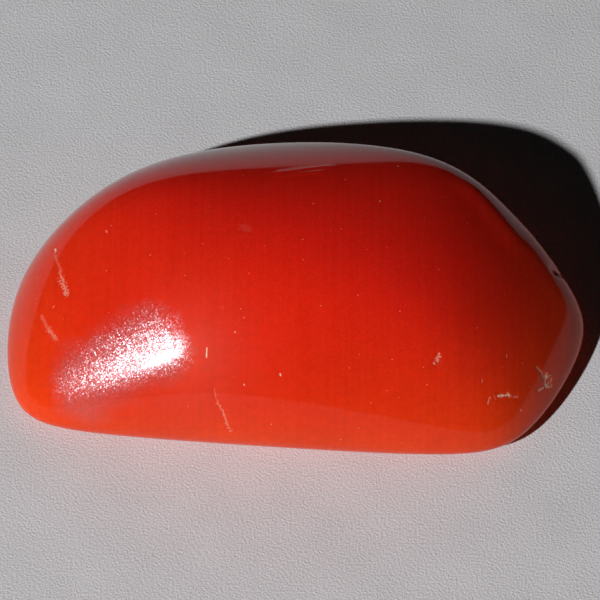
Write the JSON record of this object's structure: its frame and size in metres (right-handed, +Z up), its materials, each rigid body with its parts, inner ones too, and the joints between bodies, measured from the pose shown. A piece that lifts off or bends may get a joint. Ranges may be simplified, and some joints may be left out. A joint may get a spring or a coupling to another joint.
{
  "type": "polished red coral piece",
  "caption": "Loose piece of red coral, ground and polished into a smooth half-round pebble that lies on its level underside.",
  "frame": {"origin": "middle of the underside, at the height of the surface that the piece lies on", "axes": "+X along the length, towards the pointed end; +Y away from the straight front side; +Z straight up from the level underside"},
  "size_m": [0.0254, 0.0162, 0.0078],
  "materials": {
    "polished_coral": "polished, waxy gloss, slightly translucent"
  },
  "bodies": {
    "root": {"polished_coral": "polished_coral"}
  },
  "joints": []
}
